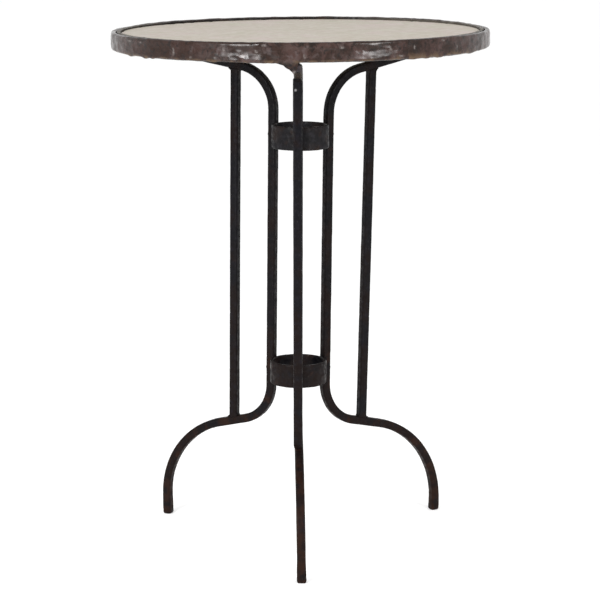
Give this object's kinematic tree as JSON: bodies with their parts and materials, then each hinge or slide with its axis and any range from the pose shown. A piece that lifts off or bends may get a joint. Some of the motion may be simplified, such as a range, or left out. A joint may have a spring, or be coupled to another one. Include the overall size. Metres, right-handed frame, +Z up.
{
  "type": "bistro table",
  "caption": "Round stone-topped bistro table with a hammered metal edge, on bent square-bar iron legs held together by rings and upright struts.",
  "frame": {"origin": "on the floor, under the middle of the round top", "axes": "+Z up, -Y towards the front leg, +X to the right as seen from the front leg"},
  "size_m": [0.5342, 0.5341, 0.7431],
  "materials": {
    "stone": "honed cream stone, satin",
    "putty": "dry putty",
    "tray_iron": "oxidised angle iron",
    "edge_metal": "hammered sheet, dark brown patina, glossy",
    "ring_iron": "blackened, rust brown in patches",
    "rivet_iron": "blackened",
    "weld_iron": "blackened weld",
    "leg_iron": "blackened, browner towards the feet",
    "strut_iron": "blackened, slightly blue"
  },
  "bodies": {
    "root": {"stone_top": "stone", "bedding": "putty", "tray_ring": "tray_iron", "backing_hoop": "tray_iron", "edge_band": "edge_metal", "upper_ring": "ring_iron", "lower_ring": "ring_iron", "upper_ring_rivets": "rivet_iron", "lower_ring_rivets": "rivet_iron", "arm_rivets": "rivet_iron", "strut_top_welds": "weld_iron", "strut_foot_welds": "weld_iron", "front_leg": "leg_iron", "front_strut": "strut_iron", "left_leg": "leg_iron", "left_strut": "strut_iron", "right_leg": "leg_iron", "right_strut": "strut_iron"}
  },
  "joints": []
}
